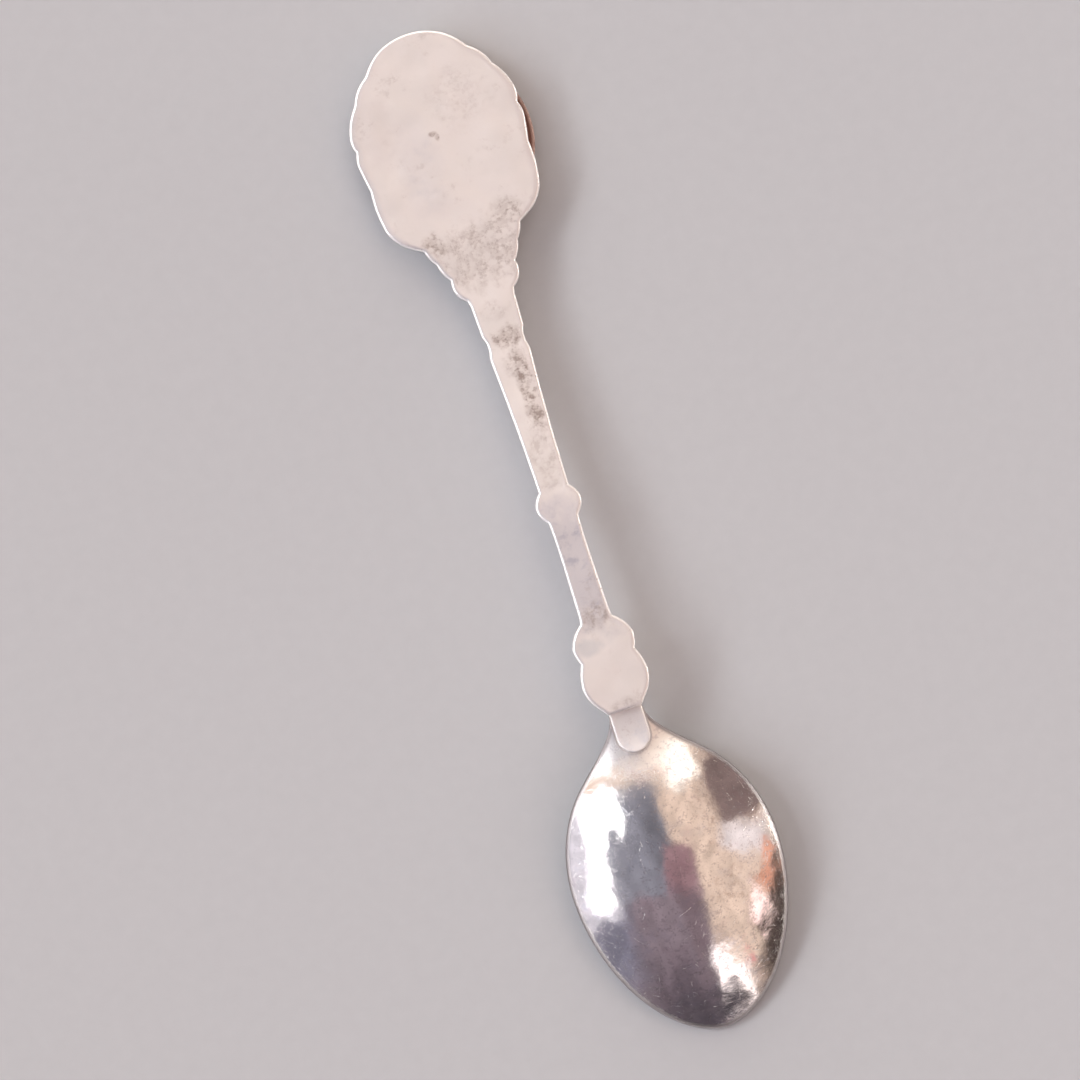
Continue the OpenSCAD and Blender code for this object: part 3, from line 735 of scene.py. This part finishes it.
dome_lo, dome_hi = (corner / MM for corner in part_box("badge_dome"))
dome_radius = (dome_hi.x - dome_lo.x) / 2
dome_middle = ((dome_lo.x + dome_hi.x) / 2, (dome_lo.y + dome_hi.y) / 2)
dome_top = dome_hi.z
dome_rise = 0.9
dome_round = 0.96
dome_flank = 1 - math.sqrt(1 - dome_round)
dome_outline = [(dome_middle[0] + dome_radius * math.sin(a), dome_middle[1] + dome_radius * math.cos(a))
                for a in [2 * math.pi * i / 128 for i in range(128)]]
dome_loops = rings(dome_middle, dome_outline, [k / 24 for k in range(1, 22)] + [0.93, 0.97, 0.99, 1.0],
                   lambda x, y, share: dome_rise * (1 - math.sqrt(1 - dome_round * share**2)) / dome_flank)
dome_loops += rings(dome_middle, dome_outline, [1.0, 0.5], lambda x, y, share: dome_top)
dome = skin("epoxy_dome", dome_loops, (*dome_middle, 0), (*dome_middle, dome_top))
clear, tree, shader, place = material("clear_epoxy")
marks = use(tree, scratches, Place=place, Fineness=1.2, Cover=0.5)
rough = sums(tree, "ADD", 0.03, sums(tree, "MULTIPLY", marks, 0.15))
set_shader(shader, Base_Color=(0.98, 0.985, 0.97), Roughness=rough, IOR=1.5, Transmission_Weight=1.0)
dome.data.materials.append(clear)
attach(dome, "root")
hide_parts("badge_dome")

# ---- Floor, light and camera -----------------------------------------------------------
# A plain pale floor in a studio with a tall window panel on the left, a bright strip on the
# right, a warm ceiling and dark flags of several tints, which the polished metal mirrors.

floor_mesh = bpy.data.meshes.new("floor")
floor_mesh.from_pydata([(-3, -3, 0), (3, -3, 0), (3, 3, 0), (-3, 3, 0)], [], [(0, 1, 2, 3)])
floor = bpy.data.objects.new("floor", floor_mesh)
bpy.context.scene.collection.objects.link(floor)
paper, tree, shader, place = material("pale_paper")
fibres = wire(tree, "TexNoise", None, {"Vector": place, "Scale": 0.6, "Detail": 4.0}).outputs[0]
colour = blend(tree, fibres, (0.60, 0.625, 0.645), (0.64, 0.665, 0.685))
set_shader(shader, Base_Color=colour, Roughness=0.9, Specular_IOR_Level=0.2)
floor.data.materials.append(paper)

# A light panel of the studio, in degrees from straight up: x to the right, y to the finial.
panel, sockets, ends = group("studio_panel", {
    "Aim": ("Vector", None), "Middle": ("Vector", (0, 0, 0)), "Half Size": ("Vector", (10, 10, 1)),
    "Turn": ("Float", 0.0), "Softness": ("Float", 4.0)}, ["Mask"])
away = wire(panel, "VectorMath", {"operation": "SUBTRACT"}, {0: sockets["Aim"], 1: sockets["Middle"]})
away = wire(panel, "VectorRotate", {"rotation_type": "Z_AXIS"},
            {"Vector": away.outputs[0], "Angle": sockets["Turn"]}).outputs[0]
away = wire(panel, "VectorMath", {"operation": "ABSOLUTE"}, {0: away}).outputs[0]
away = wire(panel, "VectorMath", {"operation": "SUBTRACT"}, {0: away, 1: sockets["Half Size"]}).outputs[0]
parts = wire(panel, "SeparateXYZ", None, {0: away}).outputs
past = sums(panel, "MAXIMUM", parts[0], parts[1])
shown = wire(panel, "MapRange", {"interpolation_type": "SMOOTHSTEP"}, {
    "Value": past, "From Min": sums(panel, "MULTIPLY", sockets["Softness"], -1.0),
    "From Max": sockets["Softness"], "To Min": 1.0, "To Max": 0.0}).outputs[0]
panel.links.new(shown, ends["Mask"])

studio = bpy.data.worlds.new("studio")
studio.use_nodes = True
bpy.context.scene.world = studio
tree = studio.node_tree
aim = wire(tree, "TexCoord").outputs["Generated"]
parts = wire(tree, "SeparateXYZ", None, {0: aim}).outputs
tilt = sums(tree, "ARCCOSINE", parts[2])
flat = sums(tree, "MAXIMUM", sums(tree, "SINE", tilt), 0.001)
spread = sums(tree, "MULTIPLY", sums(tree, "DIVIDE", tilt, flat), 180 / math.pi)
aim = wire(tree, "CombineXYZ", None, {0: sums(tree, "MULTIPLY", parts[0], spread),
                                      1: sums(tree, "MULTIPLY", parts[1], spread)}).outputs[0]
stir = wire(tree, "TexNoise", None, {"Vector": aim, "Scale": 0.05, "Detail": 4.0}).outputs["Color"]
stir = wire(tree, "VectorMath", {"operation": "SUBTRACT"}, {0: stir, 1: (0.5, 0.5, 0.5)}).outputs[0]
stir = wire(tree, "VectorMath", {"operation": "SCALE"}, {0: stir, "Scale": 18.0}).outputs[0]
aim = wire(tree, "VectorMath", None, {0: aim, 1: stir}).outputs[0]
light = (0.80, 0.61, 0.51)
# Each row is a panel's middle, half size, turn, edge softness and tint, and hides those above it.
panels = (
    ((-38, -46, 0), (52, 32, 1), 0.0, 6, (0.26, 0.205, 0.24)),
    ((-12, -66, 0), (32, 15, 1), 0.0, 9, (0.15, 0.115, 0.14)),
    ((-70, -36, 0), (22, 16, 1), 0.0, 8, (0.20, 0.19, 0.255)),
    ((20, -82, 0), (70, 20, 1), 0.0, 7, (0.065, 0.055, 0.068)),
    ((-28, 11, 0), (30, 33, 1), 0.0, 3, (0.27, 0.265, 0.32)),
    ((-8, 14, 0), (9, 24, 1), 0.0, 8, (0.185, 0.18, 0.215)),
    ((2, -38, 0), (10, 18, 1), 0.0, 4, (0.21, 0.155, 0.18)),
    ((4, -12, 0), (13, 14, 1), 0.3, 4, (0.33, 0.20, 0.225)),
    ((63, 23, 0), (17, 20, 1), 0.0, 4, (0.22, 0.155, 0.15)),
    ((75, -44, 0), (16, 34, 1), 0.68, 3, (0.055, 0.038, 0.034)),
    ((60, -7, 0), (17, 9, 1), 0.2, 4, (0.85, 0.75, 0.76)),
    ((68, -22, 0), (4, 10, 1), 0.68, 2, (0.84, 0.39, 0.27)),
    ((55, -38, 0), (4, 9, 1), 0.68, 2, (1.4, 1.05, 1.0)),
    ((28, 45, 0), (11, 8, 1), -0.3, 4, (1.6, 1.5, 1.4)),
    ((18, -58, 0), (13, 5, 1), 0.1, 3, (1.7, 1.5, 1.5)),
    ((37, -56, 0), (2.5, 2.5, 1), 0.0, 2, (0.65, 0.13, 0.17)),
    ((-78, 16, 0), (24, 42, 1), 0.0, 5, (0.74, 0.70, 0.79)),
    ((-43, 32, 0), (10, 9, 1), 0.0, 3, (9.0, 9.0, 9.3)),
    ((-58, 8, 0), (3.5, 29, 1), 0.22, 3, (9.0, 9.0, 9.3)),
    ((-36, 18, 0), (2.5, 2.5, 1), 0.5, 2, (3.0, 3.0, 3.1)),
    ((90, 4, 0), (5, 36, 1), 0.0, 2, (13.0, 12.4, 11.7)),
    ((0, 78, 0), (80, 20, 1), 0.0, 6, (2.7, 2.4, 2.2)),
)
for middle, half_size, turn, softness, tint in panels:
    shown = use(tree, panel, Aim=aim, Middle=middle, Half_Size=half_size, Turn=turn, Softness=softness)
    light = blend(tree, shown, light, tint)
stir = wire(tree, "TexNoise", None, {"Vector": aim, "Scale": 0.1, "Detail": 6.0}).outputs[0]
stir = sums(tree, "ADD", sums(tree, "MULTIPLY", stir, 1.4), 0.3)
light = wire(tree, "VectorMath", {"operation": "SCALE"}, {0: light, "Scale": stir}).outputs[0]
ring = wire(tree, "MapRange", None, {"Value": tilt, "From Min": 1.48, "From Max": 1.52}).outputs[0]
light = blend(tree, ring, light, (4.5, 4.3, 4.1), "LIGHTEN")
seen = wire(tree, "LightPath").outputs["Is Camera Ray"]
light = blend(tree, seen, light, (0.82, 0.81, 0.80))
background = tree.nodes["Background"]
tree.links.new(light, background.inputs["Color"])
background.inputs["Strength"].default_value = 1.0

camera_height = 0.6
camera_x = -3.16
back_level = 3.5
lean = -17.9
view_width = 0.11874
camera_data = bpy.data.cameras.new("camera")
camera_data.sensor_width = 36
camera_data.lens = camera_data.sensor_width * camera_height / view_width
camera_data.clip_start = 0.01
camera = bpy.data.objects.new("camera", camera_data)
camera.location = (camera_x * MM, 0, camera_height + back_level * MM)
camera.rotation_euler = (0, 0, math.radians(lean))
bpy.context.scene.collection.objects.link(camera)
bpy.context.scene.camera = camera
bpy.context.scene.view_settings.view_transform = "Standard"
